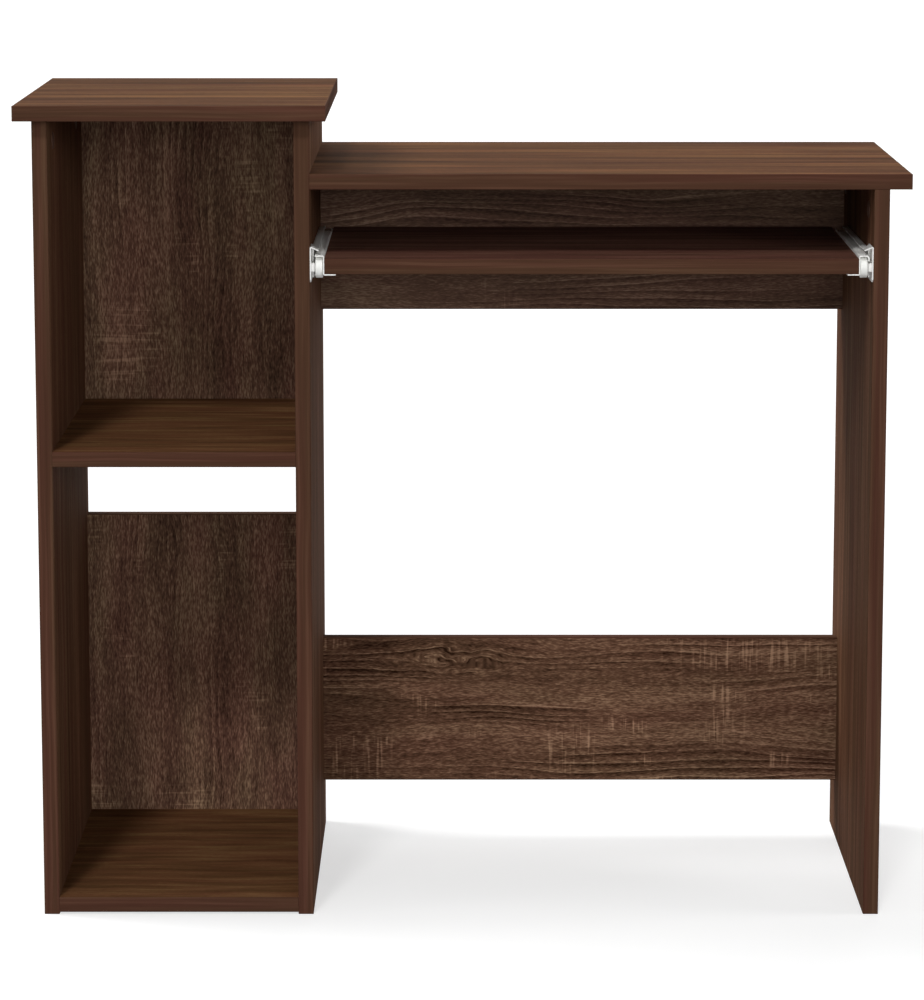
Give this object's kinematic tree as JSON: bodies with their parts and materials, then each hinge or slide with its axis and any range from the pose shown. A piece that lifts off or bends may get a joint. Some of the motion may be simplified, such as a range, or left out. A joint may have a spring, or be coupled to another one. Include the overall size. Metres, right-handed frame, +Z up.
{
  "type": "computer desk with keyboard tray",
  "caption": "Board desk with a shelf tower on its left side and a keyboard tray that pulls out on roller slides under the desk top.",
  "frame": {"origin": "on the floor, under the middle of the overall box", "axes": "+X to the right as seen by someone sitting at the desk, +Y away from that person, +Z up"},
  "size_m": [0.865, 0.4, 0.802],
  "materials": {
    "oak_board": "satin laminated chipboard, dark brown oak grain",
    "edging": "satin edge band, dark brown oak grain",
    "white_steel": "white epoxy coating on steel sheet",
    "nylon": "smooth white nylon",
    "zinc": "zinc alloy and zinc-plated steel",
    "plated_steel": "zinc-plated steel",
    "cap_plastic": "brown plastic",
    "dowel_wood": "plain fluted beech"
  },
  "bodies": {
    "carcase": {"left_side_panel": "oak_board", "centre_panel": "oak_board", "right_side_panel": "oak_board", "tower_top": "oak_board", "desk_top": "oak_board", "middle_shelf": "oak_board", "bottom_shelf": "oak_board", "upper_tower_back": "oak_board", "lower_tower_back": "oak_board", "upper_rail": "oak_board", "lower_rail": "oak_board", "left_side_edging": "edging", "centre_panel_edging": "edging", "right_side_edging": "edging", "tower_top_edging": "edging", "desk_top_edging": "edging", "middle_shelf_edging": "edging", "bottom_shelf_edging": "edging", "lower_tower_back_edging": "edging", "upper_rail_edging": "edging", "lower_rail_edging": "edging", "cam_housings": "zinc", "cam_bolts": "zinc", "cam_caps": "cap_plastic", "wooden_dowels": "dowel_wood", "left_cabinet_slide": "white_steel", "right_cabinet_slide": "white_steel", "front_axles": "plated_steel", "cabinet_slide_screws": "plated_steel"},
    "tray": {"keyboard_tray": "oak_board", "keyboard_tray_edging": "edging", "left_tray_slide": "white_steel", "right_tray_slide": "white_steel", "rear_axles": "plated_steel", "tray_slide_screws": "plated_steel"},
    "left_front_roller": {"left_front_roller": "nylon"},
    "right_front_roller": {"right_front_roller": "nylon"},
    "left_rear_roller": {"left_rear_roller": "nylon"},
    "right_rear_roller": {"right_rear_roller": "nylon"}
  },
  "joints": [
    {"name": "tray_slide", "type": "slide", "parent": "carcase", "child": "tray", "axis": [0, -1, 0], "range_m": [0, 0.185]},
    {"name": "left_front_roller_spin", "type": "hinge", "parent": "carcase", "child": "left_front_roller", "pos_m": [-0.141, -0.168, 0.644], "axis": [1, 0, 0], "continuous": true},
    {"name": "right_front_roller_spin", "type": "hinge", "parent": "carcase", "child": "right_front_roller", "pos_m": [0.388, -0.168, 0.644], "axis": [1, 0, 0], "continuous": true},
    {"name": "left_rear_roller_spin", "type": "hinge", "parent": "tray", "child": "left_rear_roller", "pos_m": [-0.141, 0.068, 0.644], "axis": [1, 0, 0], "continuous": true},
    {"name": "right_rear_roller_spin", "type": "hinge", "parent": "tray", "child": "right_rear_roller", "pos_m": [0.388, 0.068, 0.644], "axis": [1, 0, 0], "continuous": true}
  ],
  "couplings": [
    {"joint": "left_front_roller_spin", "follows": "tray_slide", "rad_per_m": 95.238},
    {"joint": "right_front_roller_spin", "follows": "tray_slide", "rad_per_m": 95.238},
    {"joint": "left_rear_roller_spin", "follows": "tray_slide", "rad_per_m": 95.238},
    {"joint": "right_rear_roller_spin", "follows": "tray_slide", "rad_per_m": 95.238}
  ]
}
